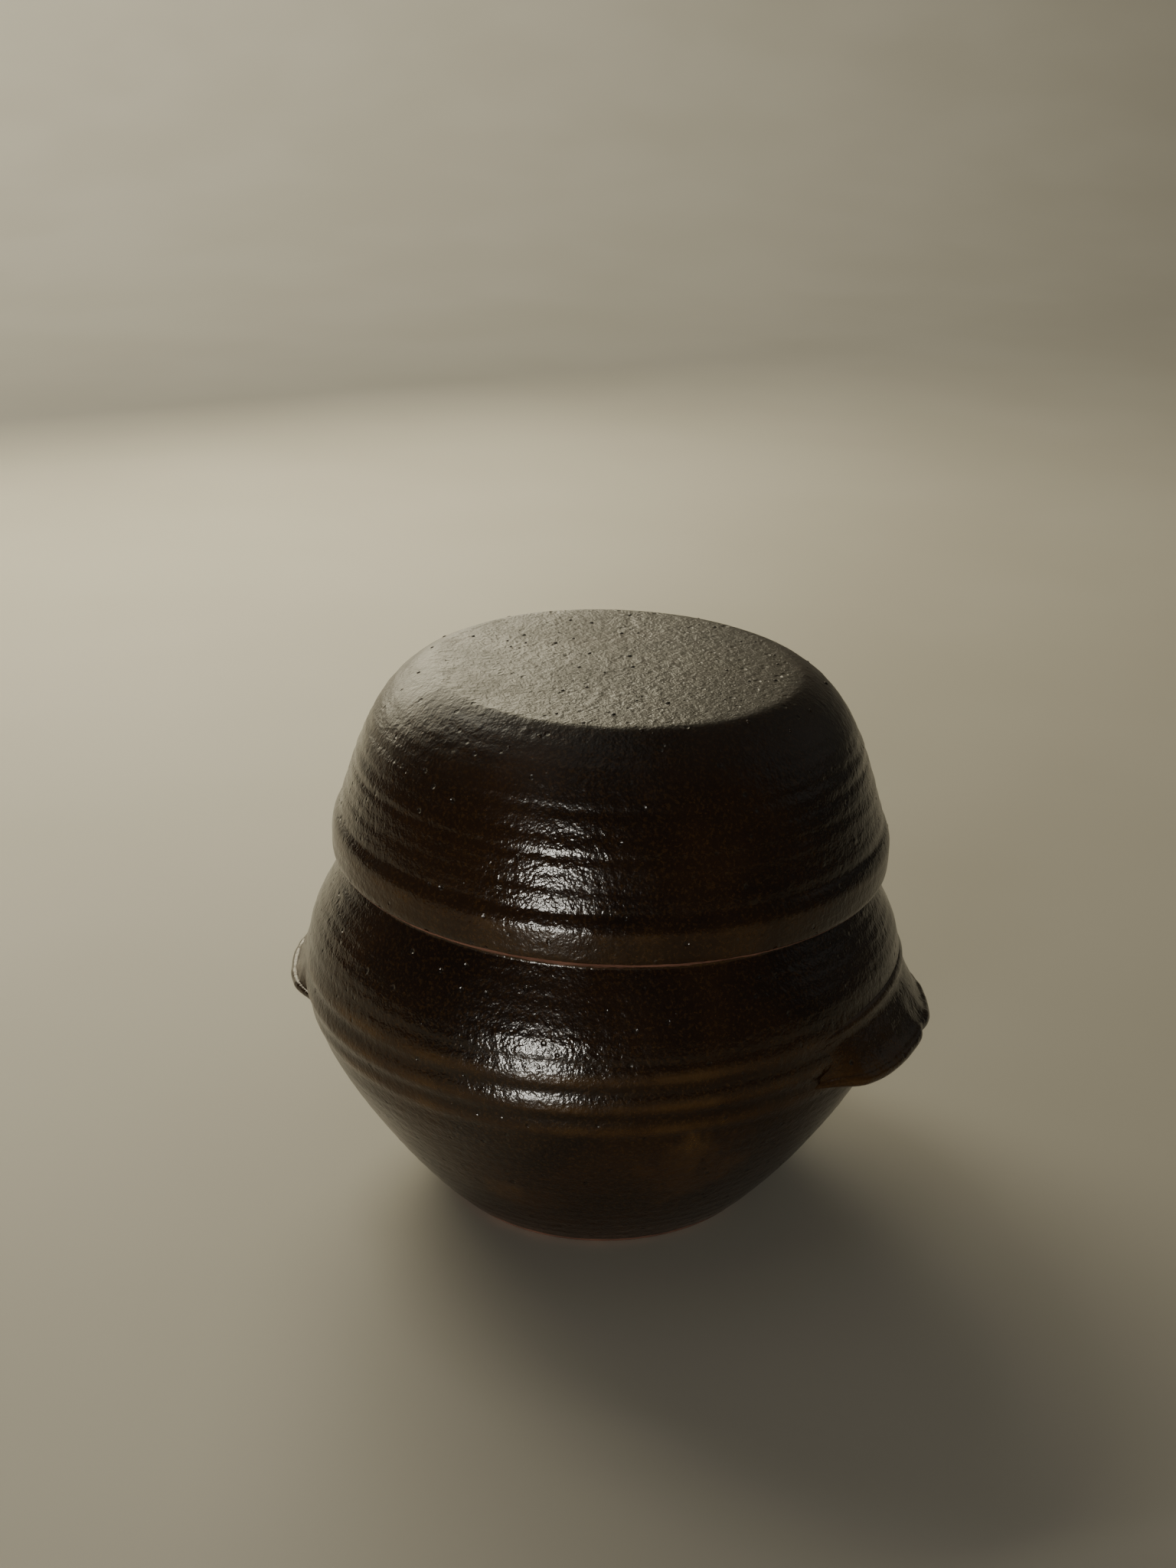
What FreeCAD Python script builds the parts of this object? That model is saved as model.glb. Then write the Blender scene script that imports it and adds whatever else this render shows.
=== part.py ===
"""Small lidded stoneware storage jar: a thrown jar, two crescent ear handles and a deep bowl-shaped lid.

Millimetres. The origin is the centre of the foot on the floor, +Z is the turning axis, and the
ear handles stand on +X and -X. The lid rests on a flat seat around a short collar.
"""
import FreeCAD
import Part
import math
import os

os.makedirs("parts", exist_ok=True)

# Jar outside
FOOT_RADIUS = 41.7
FOOT_BEVEL = 0.8
BELLY_RADIUS = 75.0
BELLY_HEIGHT = 57.0
FOOT_FLARE = 1.0
FOOT_HANDLE = 12.0
BELLY_HANDLE_DOWN = 12.5
BELLY_HANDLE_UP = 15.5
SHOULDER_SLOPE = 0.5
SHOULDER_HANDLE = 9.0

# Flat seat for the lid, a thin flange that overhangs the shoulder
SEAT_RADIUS = 66.2
SEAT_HEIGHT = 89.0
SEAT_OVERHANG = 1.9
SEAT_EDGE = 1.1
SEAT_UNDERCUT = 1.2

# Jar inside and collar
WALL = 5.0
CORNER_WALL = 8.0
FLOOR = 6.0
SEAT_WIDTH = 8.7
COLLAR_RADIUS = SEAT_RADIUS - SEAT_WIDTH
COLLAR_WALL = 5.0
COLLAR_HEIGHT = 7.0
SHOULDER_WALL = 4.5

# Finger grooves around the belly, with the ridges between them
GROOVE_COUNT = 3
GROOVE_PITCH = 6.3
GROOVE_START = -6.0
GROOVE_DEPTH = 0.45

# Ear handles
EAR_REACH = 9.2
EAR_HALF_ANGLE = 41.0
EAR_HEIGHT = 51.2
EAR_LIP = 3.6
EAR_ROOT_UP = 15.2
EAR_BITE = 0.5
EAR_DROP = 3.2
EAR_DEPTH = 15.0
EAR_HOLLOW = 0.8

# Lid outside
SEAT_GAP = 0.3
LID_OVERHANG = 2.1
LID_EDGE_IN = 2.3
LID_ROLL_HEIGHT = 5.8
LID_WAIST_HEIGHT = 13.6
LID_WAIST_IN = 2.4
LID_TOP_RADIUS = 45.2
LID_HEIGHT = 48.1
LID_SIDE_HANDLE = 10.5
LID_SIDE_LEAN = 0.295
LID_SHOULDER_SHARE = 0.68
LID_SHOULDER_DOWN = 5.4

# Lid inside
LID_WALL = 4.6
LID_TOP_WALL = 5.5
LID_SKIRT_CLEARANCE = 4.0


def point(radius, height):
    """A point of a half section, in the XZ plane."""
    return FreeCAD.Vector(radius, 0, height)


def line(start, end):
    return Part.LineSegment(start, end).toShape()


def arc(start, middle, end):
    return Part.Arc(start, middle, end).toShape()


def bezier(poles):
    curve = Part.BezierCurve()
    curve.setPoles(poles)
    return curve


def turned(edges, centre=0):
    """The solid that a closed half section sweeps around the upright axis at X = centre."""
    face = Part.Face(Part.Wire(edges))
    return face.revolve(FreeCAD.Vector(centre, 0, 0), FreeCAD.Vector(0, 0, 1), 360)


def jar_lower_poles():
    """From the foot up to the widest part of the belly."""
    foot = point(FOOT_RADIUS, FOOT_BEVEL)
    flare = point(FOOT_RADIUS + FOOT_FLARE * FOOT_HANDLE, FOOT_BEVEL + FOOT_HANDLE)
    below = point(BELLY_RADIUS, BELLY_HEIGHT - BELLY_HANDLE_DOWN)
    return [foot, flare, below, point(BELLY_RADIUS, BELLY_HEIGHT)]


def jar_upper_poles():
    """From the belly up to the neck under the seat's flange."""
    above = point(BELLY_RADIUS, BELLY_HEIGHT + BELLY_HANDLE_UP)
    top = point(SEAT_RADIUS - SEAT_OVERHANG, SEAT_HEIGHT - SEAT_EDGE - SEAT_UNDERCUT)
    slope = point(top.x + SHOULDER_SLOPE * SHOULDER_HANDLE, top.z - SHOULDER_HANDLE)
    return [point(BELLY_RADIUS, BELLY_HEIGHT), above, slope, top]


def place_at(curve, height):
    """The place on a rising curve where it passes a height, by halving its range."""
    low = 0.0
    high = 1.0
    for _ in range(50):
        middle = (low + high) / 2
        if curve.value(middle).z < height:
            low = middle
        else:
            high = middle
    return low


def wall_at(height):
    """The place on the jar's smooth outer side at a height."""
    curve = bezier(jar_lower_poles() if height < BELLY_HEIGHT else jar_upper_poles())
    return curve.value(place_at(curve, height))


def jar_side():
    """The jar's outer side from the foot to the flange: a flare, the scalloped belly, a shoulder."""
    lower = bezier(jar_lower_poles())
    upper = bezier(jar_upper_poles())
    first_crest = BELLY_HEIGHT + GROOVE_START
    crests = [wall_at(first_crest + index * GROOVE_PITCH) for index in range(GROOVE_COUNT + 1)]
    scallops = []
    for start, end in zip(crests, crests[1:]):
        chord = end - start
        inward = FreeCAD.Vector(-chord.z, 0, chord.x).normalize()
        middle = (start + end) * 0.5 + inward * GROOVE_DEPTH
        scallops.append(Part.Arc(start, middle, end).toShape())
    flare = lower.toShape(0, place_at(lower, crests[0].z))
    shoulder = upper.toShape(place_at(upper, crests[-1].z), 1)
    return [flare, *scallops, shoulder]


def jar_form():
    """The jar as a full solid without its cavity, with the outer half of the collar's rim."""
    bottom = point(0, 0)
    foot_edge = point(FOOT_RADIUS - FOOT_BEVEL, 0)
    foot_top = point(FOOT_RADIUS, FOOT_BEVEL)
    flange_low = point(SEAT_RADIUS, SEAT_HEIGHT - SEAT_EDGE)
    seat_edge = point(SEAT_RADIUS, SEAT_HEIGHT)
    collar_foot = point(COLLAR_RADIUS, SEAT_HEIGHT)
    collar_side = point(COLLAR_RADIUS, SEAT_HEIGHT + COLLAR_HEIGHT - COLLAR_WALL / 2)
    rim = point(COLLAR_RADIUS - COLLAR_WALL / 2, SEAT_HEIGHT + COLLAR_HEIGHT)
    rim_shoulder = COLLAR_WALL / 2 * math.sqrt(0.5)
    rim_outer = point(rim.x + rim_shoulder, collar_side.z + rim_shoulder)
    axis_top = point(0, rim.z)
    return turned([
        line(bottom, foot_edge),
        line(foot_edge, foot_top),
        *jar_side(),
        line(jar_upper_poles()[-1], flange_low),
        line(flange_low, seat_edge),
        line(seat_edge, collar_foot),
        line(collar_foot, collar_side),
        arc(collar_side, rim_outer, rim),
        line(rim, axis_top),
        line(axis_top, bottom),
    ])


def jar_cavity():
    """The hollow inside the jar, with the rounded inner half of the collar's rim."""
    floor_centre = point(0, FLOOR)
    floor_edge = point(FOOT_RADIUS - CORNER_WALL, FLOOR)
    flare = point(FOOT_RADIUS + FOOT_FLARE * FOOT_HANDLE - CORNER_WALL, FLOOR * 2)
    belly = point(BELLY_RADIUS - WALL, BELLY_HEIGHT)
    below = point(belly.x, BELLY_HEIGHT - BELLY_HANDLE_DOWN)
    above = point(belly.x, BELLY_HEIGHT + BELLY_HANDLE_UP)
    mouth = COLLAR_RADIUS - COLLAR_WALL
    neck = point(mouth, SEAT_HEIGHT - SHOULDER_WALL)
    under_shoulder = point(SEAT_RADIUS, neck.z - SHOULDER_WALL)
    collar_side = point(mouth, SEAT_HEIGHT + COLLAR_HEIGHT - COLLAR_WALL / 2)
    rim = point(mouth + COLLAR_WALL / 2, SEAT_HEIGHT + COLLAR_HEIGHT)
    rim_shoulder = COLLAR_WALL / 2 * math.sqrt(0.5)
    rim_inner = point(rim.x - rim_shoulder, collar_side.z + rim_shoulder)
    axis_top = point(0, rim.z)
    return turned([
        line(floor_centre, floor_edge),
        bezier([floor_edge, flare, below, belly]).toShape(),
        bezier([belly, above, under_shoulder, neck]).toShape(),
        line(neck, collar_side),
        arc(collar_side, rim_inner, rim),
        line(rim, axis_top),
        line(axis_top, floor_centre),
    ])


def ear_handle(form):
    """A crescent strip pressed onto the belly on +X, cut to the jar's own outside.

    Its outer edge is an arc of a smaller circle than the belly, so the strip runs out into the
    wall at both ends. The circle passes the tip and the two ends. Its upper face is hollow and
    rises to a root on the wall. A wide belly or a steep shoulder can leave a loose sliver beside
    the root, so only the largest solid is the ear.
    """
    tip_reach = BELLY_RADIUS + EAR_REACH
    end_x = BELLY_RADIUS * math.cos(math.radians(EAR_HALF_ANGLE))
    centre = (tip_reach**2 - BELLY_RADIUS**2) / (2 * (tip_reach - end_x))
    half_lip = EAR_LIP / 2
    inner = tip_reach - EAR_DEPTH
    tip = point(tip_reach, EAR_HEIGHT)
    tip_top = point(tip_reach - half_lip, EAR_HEIGHT + half_lip)
    tip_bottom = point(tip_reach - half_lip, EAR_HEIGHT - half_lip)
    inner_bottom = point(inner, tip_bottom.z - EAR_DROP)
    root = wall_at(EAR_HEIGHT + EAR_ROOT_UP) - point(EAR_BITE, 0)
    sag = (tip_top + root) * 0.5 - point(EAR_HOLLOW, EAR_HOLLOW)
    section = [
        arc(tip_bottom, tip, tip_top),
        arc(tip_top, sag, root),
        line(root, inner_bottom),
        line(inner_bottom, tip_bottom),
    ]
    pieces = turned(section, centre).cut(form).Solids
    return max(pieces, key=lambda solid: solid.Volume)


def lid():
    """A deep inverted bowl with a flat top, a soft waist above its lip and a full roll on the lip."""
    under = SEAT_HEIGHT + SEAT_GAP
    skirt_inner = COLLAR_RADIUS + LID_SKIRT_CLEARANCE
    lip_radius = SEAT_RADIUS + LID_OVERHANG
    inner_edge = point(skirt_inner, under)
    outer_edge = point(lip_radius - LID_EDGE_IN, under)
    edge_pole = point(lip_radius - LID_EDGE_IN * 0.4, under)
    under_roll = point(lip_radius, under + LID_ROLL_HEIGHT * 0.4)
    roll = point(lip_radius, under + LID_ROLL_HEIGHT)
    waist = point(lip_radius - LID_WAIST_IN, under + LID_WAIST_HEIGHT)
    waist_handle = (waist.z - roll.z) * 0.44
    over_roll = point(lip_radius, roll.z + waist_handle)
    under_waist = point(waist.x + LID_SIDE_LEAN * waist_handle, waist.z - waist_handle)
    top_edge = point(LID_TOP_RADIUS, under + LID_HEIGHT)
    side_pole = point(waist.x - LID_SIDE_LEAN * LID_SIDE_HANDLE, waist.z + LID_SIDE_HANDLE)
    shoulder_out = LID_SHOULDER_SHARE * (waist.x - LID_TOP_RADIUS)
    shoulder_pole = point(LID_TOP_RADIUS + shoulder_out, top_edge.z - LID_SHOULDER_DOWN)
    top_centre = point(0, top_edge.z)
    ceiling_centre = point(0, top_edge.z - LID_TOP_WALL)
    ceiling_edge = point(LID_TOP_RADIUS - LID_WALL * 1.5, ceiling_centre.z)
    inner_shoulder = point(shoulder_pole.x - LID_WALL * 0.6, ceiling_edge.z - LID_WALL)
    inner_side = point(side_pole.x - LID_WALL, side_pole.z - LID_WALL * 0.4)
    skirt_top = point(waist.x - LID_WALL, waist.z)
    return turned([
        line(inner_edge, outer_edge),
        bezier([outer_edge, edge_pole, under_roll, roll]).toShape(),
        bezier([roll, over_roll, under_waist, waist]).toShape(),
        bezier([waist, side_pole, shoulder_pole, top_edge]).toShape(),
        line(top_edge, top_centre),
        line(top_centre, ceiling_centre),
        line(ceiling_centre, ceiling_edge),
        bezier([ceiling_edge, inner_shoulder, inner_side, skirt_top]).toShape(),
        line(skirt_top, inner_edge),
    ])


def main():
    form = jar_form()
    right_ear = ear_handle(form)
    left_ear = right_ear.copy()
    left_ear.rotate(FreeCAD.Vector(), FreeCAD.Vector(0, 0, 1), 180)
    pieces = {
        "jar_body": form.cut(jar_cavity()),
        "right_ear_handle": right_ear,
        "left_ear_handle": left_ear,
        "lid": lid(),
    }
    for node, shape in pieces.items():
        solid = shape.Solids[0]
        solid.exportStep(f"parts/{node}.step")
        box = solid.optimalBoundingBox()
        print(node, len(shape.Solids), solid.isValid(), f"{solid.Volume:.0f} mm3",
              f"{box.XLength:.1f} x {box.YLength:.1f} x {box.ZLength:.1f}")


main()
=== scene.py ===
import bpy
import math
from mathutils import Matrix, Vector, noise


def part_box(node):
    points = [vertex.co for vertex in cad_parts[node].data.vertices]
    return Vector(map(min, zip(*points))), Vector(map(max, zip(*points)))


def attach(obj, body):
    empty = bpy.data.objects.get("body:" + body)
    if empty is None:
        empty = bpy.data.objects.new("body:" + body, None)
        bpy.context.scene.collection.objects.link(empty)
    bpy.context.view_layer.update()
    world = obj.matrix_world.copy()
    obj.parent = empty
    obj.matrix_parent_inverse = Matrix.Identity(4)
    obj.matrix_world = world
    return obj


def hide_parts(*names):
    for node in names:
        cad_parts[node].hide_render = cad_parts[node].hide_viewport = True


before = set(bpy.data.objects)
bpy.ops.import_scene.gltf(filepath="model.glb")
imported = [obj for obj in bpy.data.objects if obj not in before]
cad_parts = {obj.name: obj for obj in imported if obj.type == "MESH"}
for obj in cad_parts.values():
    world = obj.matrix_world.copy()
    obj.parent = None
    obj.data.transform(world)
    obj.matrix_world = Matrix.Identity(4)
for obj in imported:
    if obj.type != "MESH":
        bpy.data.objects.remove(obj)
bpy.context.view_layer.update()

# Small lidded stoneware jar: thrown clay, pressed ear handles, pooled brown glaze and bare edges.
# Metres throughout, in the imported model's frame. The outlines of the jar, the lid and the ears are
# written in millimetres, and MM turns them into metres where they become meshes.
MM = 0.001

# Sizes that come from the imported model. The rooms leave space for a thrown wall's wobble, and the
# lid's underside settles into half of the gap over its seat.
jar_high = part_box("jar_body")[1]
lid_low, lid_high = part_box("lid")
ear_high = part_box("right_ear_handle")[1]
BELLY_ROOM = 0.12
LIP_ROOM = 0.15
LID_SETTLE = 0.15
BELLY = jar_high.y / MM - BELLY_ROOM
COLLAR_TOP = jar_high.z / MM
LID_UNDER = lid_low.z / MM - LID_SETTLE
LIP = lid_high.y / MM - LIP_ROOM
EAR_TIP = ear_high.x / MM

# Jar outline
FOOT = 41.7
FOOT_BEVEL = 0.8
BELLY_HEIGHT = 57.0
FLARE_POLE = 12.0
BELLY_POLE_DOWN = 12.5
BELLY_POLE_UP = 15.5
NECK = 64.3
NECK_HEIGHT = 86.7
SEAT = 66.2
SEAT_HEIGHT = 89.0
SEAT_EDGE = 1.1
COLLAR = 57.5
COLLAR_WALL = 5.0
WALL = 5.0
FLOOR = 6.0
SHOULDER_WALL = 4.5

# Grooves left by the fingers around the belly (height, depth, half width), and the crests between them
FINGER_GROOVES = [(66.9, 0.28, 2.4), (60.4, 0.62, 1.9), (53.4, 0.52, 1.7), (47.2, 0.22, 2.0)]
FINGER_CRESTS = [(63.6, 1.3), (56.8, 1.3), (50.4, 1.5)]

# Lid outline
LID_EDGE = 66.8
ROLL_HEIGHT = 95.0
WAIST = 65.9
WAIST_HEIGHT = 102.6
LID_DISC = 44.7
LID_DISC_HEIGHT = 135.9
LID_DOME = 0.5
LID_THICK = 4.6
LID_INNER = 61.5

# Rings thrown into the lid's side: height, depth, half width
LID_RINGS = [(121.6, 0.17, 1.1), (116.7, 0.22, 1.0), (112.4, 0.17, 0.9), (106.6, 0.08, 1.3)]

# The seat slopes a little, as on a jar that warped in the kiln, and the lid sits off its middle
SEAT_SLOPE = (0.0269, 0.0109, 0.0)
LID_ASIDE = (1.86, -0.70, 0.0)
NECK_ASIDE = (1.0, 0.4, 0.0)
SLOPE_FROM = 60.0
SLOPE_FULL = 87.0


# ---------------------------------------------------------------- outlines

def bezier_run(start, first, second, end, count):
    """Points along a curved stretch of an outline, without its last point."""
    points = []
    for step in range(count):
        t = step / count
        s = 1 - t
        weights = (s**3, 3 * t * s * s, 3 * t * t * s, t**3)
        poles = (start, first, second, end)
        points.append(tuple(sum(w * p[axis] for w, p in zip(weights, poles)) for axis in (0, 1)))
    return points


def straight_run(start, end, count):
    """Points along a straight stretch of an outline, without its last point."""
    return [
        (start[0] + (end[0] - start[0]) * step / count, start[1] + (end[1] - start[1]) * step / count)
        for step in range(count)
    ]


def arc_run(centre, radius, start_angle, end_angle, count):
    """Points along a round stretch of an outline, without its last point. Angles are in degrees."""
    points = []
    for step in range(count):
        angle = math.radians(start_angle + (end_angle - start_angle) * step / count)
        points.append((centre[0] + radius * math.cos(angle), centre[1] + radius * math.sin(angle)))
    return points


def bell(value, middle, half_width):
    """1 at the middle, falling smoothly to nothing about two half widths away."""
    return math.exp(-(((value - middle) / half_width) ** 2))


def rows(points, bare, thin, loose):
    """Outline points with their three surface values: bare clay, thin glaze, and how free they are."""
    return [(r, z, bare(r, z), thin(r, z), loose) for r, z in points]


def always(value):
    return lambda r, z: value


def jar_wall_curves():
    """The poles of the jar's flare and of its shoulder."""
    belly = (BELLY, BELLY_HEIGHT)
    flare = ((FOOT, FOOT_BEVEL), (FOOT + FLARE_POLE, FOOT_BEVEL + FLARE_POLE),
             (BELLY, BELLY_HEIGHT - BELLY_POLE_DOWN), belly)
    shoulder = (belly, (BELLY, BELLY_HEIGHT + BELLY_POLE_UP),
                (NECK + 4.5, NECK_HEIGHT - 9.0), (NECK, NECK_HEIGHT))
    return flare, shoulder


def jar_wall_radius(height):
    """The jar's outer radius at a height, finger grooves and all."""
    flare, shoulder = jar_wall_curves()
    curve = flare if height < BELLY_HEIGHT else shoulder
    run = bezier_run(*curve, 120) + [curve[3]]
    for (r0, z0), (r1, z1) in zip(run, run[1:]):
        if z0 <= height <= z1:
            return r0 + (r1 - r0) * (height - z0) / (z1 - z0) - grooves_at(height, FINGER_GROOVES)
    return run[-1][0]


def grooves_at(height, grooves):
    """How deep the grooves of a list go at a height."""
    return sum(depth * bell(height, middle, width) for middle, depth, width in grooves)


def crest(height):
    """1 on the crests between the finger grooves, where the glaze ran thin."""
    return max(bell(height, middle, width) for middle, width in FINGER_CRESTS)


def foot_bareness(r, z):
    return max(0.0, min(1.0, (2.2 - z) / 1.2))


def jar_outline():
    """The jar's whole half section, from the middle of the foot around to the middle of the floor."""
    flare, shoulder = jar_wall_curves()
    collar_side = COLLAR_TOP - COLLAR_WALL / 2
    mouth = COLLAR - COLLAR_WALL
    inner_belly = (BELLY - WALL, BELLY_HEIGHT)
    neck_inner = (mouth, SEAT_HEIGHT - SHOULDER_WALL)
    floor_edge = (FOOT - 8.0, FLOOR)
    under_shoulder = (SEAT, neck_inner[1] - SHOULDER_WALL)
    outline = []
    outline += rows(straight_run((0, 0), (FOOT - FOOT_BEVEL, 0), 12), always(1), always(0), 0.0)
    outline += rows(straight_run((FOOT - FOOT_BEVEL, 0), flare[0], 2), always(1), always(0), 0.0)
    wall = bezier_run(*flare, 66) + bezier_run(*shoulder, 42)
    grooved = [(r - grooves_at(z, FINGER_GROOVES), z) for r, z in wall]
    outline += rows(grooved, foot_bareness, lambda r, z: 0.5 * crest(z), 1.0)
    neck_run = straight_run((NECK, NECK_HEIGHT), (SEAT, SEAT_HEIGHT - SEAT_EDGE), 2)
    outline += rows(neck_run, always(0.5), always(0.3), 0.3)
    outline += rows(straight_run((SEAT, SEAT_HEIGHT - SEAT_EDGE), (SEAT, SEAT_HEIGHT - 0.3), 3),
                    always(1), always(0), 0.15)
    outline += rows(straight_run((SEAT - 0.3, SEAT_HEIGHT), (COLLAR, SEAT_HEIGHT), 6),
                    always(1), always(0), 0.0)
    outline += rows(straight_run((COLLAR, SEAT_HEIGHT), (COLLAR, collar_side), 4),
                    always(0.9), always(0), 0.0)
    rim = arc_run((COLLAR - COLLAR_WALL / 2, collar_side), COLLAR_WALL / 2, 0, 180, 10)
    outline += rows(rim, always(0.8), always(0.3), 0.2)
    outline += rows(straight_run((mouth, collar_side), neck_inner, 6), always(0), always(0.5), 0.3)
    shoulder_inside = bezier_run(neck_inner, under_shoulder, (inner_belly[0], BELLY_HEIGHT + BELLY_POLE_UP),
                                 inner_belly, 22)
    flare_inside = bezier_run(inner_belly, (inner_belly[0], BELLY_HEIGHT - BELLY_POLE_DOWN),
                              (FOOT + 4.0, FLOOR * 2), floor_edge, 30)
    outline += rows(shoulder_inside + flare_inside, always(0), always(0.15), 1.0)
    outline += rows(straight_run(floor_edge, (0, FLOOR), 11) + [(0, FLOOR)], always(0), always(0.1), 0.0)
    return outline


def lip_bareness(r, z):
    return max(0.0, min(1.0, (LID_UNDER + 0.85 - z) / 0.5))


def lid_outline():
    """The lid's whole half section, from the middle of its ceiling down and around to its top's middle."""
    edge = (LID_EDGE, LID_UNDER)
    roll = (LIP, ROLL_HEIGHT)
    waist = (WAIST, WAIST_HEIGHT)
    side_pole = (WAIST - 3.4, WAIST_HEIGHT + 10.0)
    disc_edge = (LID_DISC, LID_DISC_HEIGHT)
    shoulder_pole = (LID_DISC + 14.2, LID_DISC_HEIGHT - 5.3)
    ceiling = LID_DISC_HEIGHT - 5.0
    ceiling_edge = (LID_DISC - LID_THICK * 1.5, ceiling)
    inner_shoulder = (shoulder_pole[0] - LID_THICK * 0.6, ceiling - LID_THICK)
    inner_side = (side_pole[0] - LID_THICK, side_pole[1] - LID_THICK * 0.4)
    skirt_top = (WAIST - LID_THICK, WAIST_HEIGHT)
    outline = []
    outline += rows(straight_run((0, ceiling), ceiling_edge, 12), always(0), always(0.2), 0.0)
    inside = bezier_run(ceiling_edge, inner_shoulder, inner_side, skirt_top, 26)
    outline += rows(inside, always(0), always(0.2), 1.0)
    outline += rows(straight_run(skirt_top, (LID_INNER, LID_UNDER), 8), always(0.2), always(0.2), 0.0)
    outline += rows(straight_run((LID_INNER, LID_UNDER), edge, 5), always(1), always(0), 0.0)
    low_roll = bezier_run(edge, (LID_EDGE + 1.5, LID_UNDER), (LIP, LID_UNDER + 2.0), roll, 20)
    outline += rows(low_roll, lip_bareness, always(0.2), 0.45)
    high_roll = bezier_run(roll, (LIP, ROLL_HEIGHT + 3.4), (WAIST + 1.0, WAIST_HEIGHT - 3.4), waist, 20)
    dented = [(r - 0.3 * bell(z, 100.6, 1.0), z) for r, z in high_roll]
    outline += rows(dented, always(0), lambda r, z: 0.35 * bell(z, 96.0, 1.5), 0.6)
    side = bezier_run(waist, side_pole, shoulder_pole, disc_edge, 66)
    ringed = [(r - grooves_at(z, LID_RINGS), z) for r, z in side]
    outline += rows(ringed, always(0), always(0), 1.0)
    disc = straight_run(disc_edge, (0, LID_DISC_HEIGHT), 32) + [(0, LID_DISC_HEIGHT)]
    domed = [(r, z + LID_DOME * (1 - (r / LID_DISC) ** 2)) for r, z in disc]
    outline += rows(domed, always(0), always(0), 0.8)
    return outline


# ---------------------------------------------------------------- node tree helpers

class Tree:
    """A node tree with short ways to add nodes, sums and named inputs."""

    def __init__(self, tree):
        self.tree = tree

    def add(self, kind, settings=None, inputs=None):
        node = self.tree.nodes.new(kind)
        for name, value in (settings or {}).items():
            setattr(node, name, value)
        for name, value in (inputs or {}).items():
            self.feed(node.inputs[name], value)
        return node

    def feed(self, socket, value):
        if isinstance(value, bpy.types.NodeSocket):
            self.tree.links.new(value, socket)
        else:
            socket.default_value = value

    def maths(self, operation, first, second=0.0, third=0.0, clamp=False):
        node = self.add("ShaderNodeMath", {"operation": operation, "use_clamp": clamp})
        for index, value in enumerate((first, second, third)):
            self.feed(node.inputs[index], value)
        return node.outputs[0]

    def vector_maths(self, operation, first, second=(0.0, 0.0, 0.0)):
        node = self.add("ShaderNodeVectorMath", {"operation": operation})
        self.feed(node.inputs[0], first)
        self.feed(node.inputs["Scale"] if operation == "SCALE" else node.inputs[1], second)
        return node.outputs["Value" if operation in ("LENGTH", "DISTANCE", "DOT_PRODUCT") else "Vector"]

    def ramp(self, value, low, high, to_low=0.0, to_high=1.0):
        """A smooth step of a value from one range to another."""
        node = self.add("ShaderNodeMapRange", {"interpolation_type": "SMOOTHSTEP", "clamp": True})
        for name, number in zip(("Value", "From Min", "From Max", "To Min", "To Max"),
                                (value, low, high, to_low, to_high)):
            self.feed(node.inputs[name], number)
        return node.outputs["Result"]

    def noise(self, place, scale, detail=2.0, roughness=0.5, distortion=0.0, seed=0.0):
        inputs = {"Vector": place, "W": seed, "Scale": scale, "Detail": detail,
                  "Roughness": roughness, "Distortion": distortion}
        return self.add("ShaderNodeTexNoise", {"noise_dimensions": "4D"}, inputs).outputs[0]

    def blend(self, factor, first, second, mode="MIX"):
        node = self.add("ShaderNodeMix", {"data_type": "RGBA", "blend_type": mode})
        self.feed(node.inputs[0], factor)
        self.feed(node.inputs[6], first)
        self.feed(node.inputs[7], second)
        return node.outputs[2]

    def parts(self, vector):
        """The X, Y and Z of a vector."""
        return self.add("ShaderNodeSeparateXYZ", None, {"Vector": vector}).outputs

    def carried(self, name):
        """A value that the mesh carries at each point, read in a geometry tree."""
        node = self.add("GeometryNodeInputNamedAttribute", {"data_type": "FLOAT"}, {"Name": name})
        return node.outputs["Attribute"]

    def painted(self, name):
        """A value that the mesh carries at each point, read in a material."""
        return self.add("ShaderNodeAttribute", {"attribute_name": name}).outputs["Fac"]

    def chance(self, cells, channel):
        """A random value of each cell."""
        return self.add("ShaderNodeSeparateColor", None, {"Color": cells.outputs["Color"]}).outputs[channel]

    def socket(self, name, kind, output=False, default=None):
        made = self.tree.interface.new_socket(name, in_out="OUTPUT" if output else "INPUT", socket_type=kind)
        if default is not None:
            made.default_value = default
        return made


def geometry_tree(name):
    tree = Tree(bpy.data.node_groups.new(name, "GeometryNodeTree"))
    tree.socket("Geometry", "NodeSocketGeometry", output=True)
    tree.socket("Geometry", "NodeSocketGeometry")
    return tree


# ---------------------------------------------------------------- thrown clay

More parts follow.
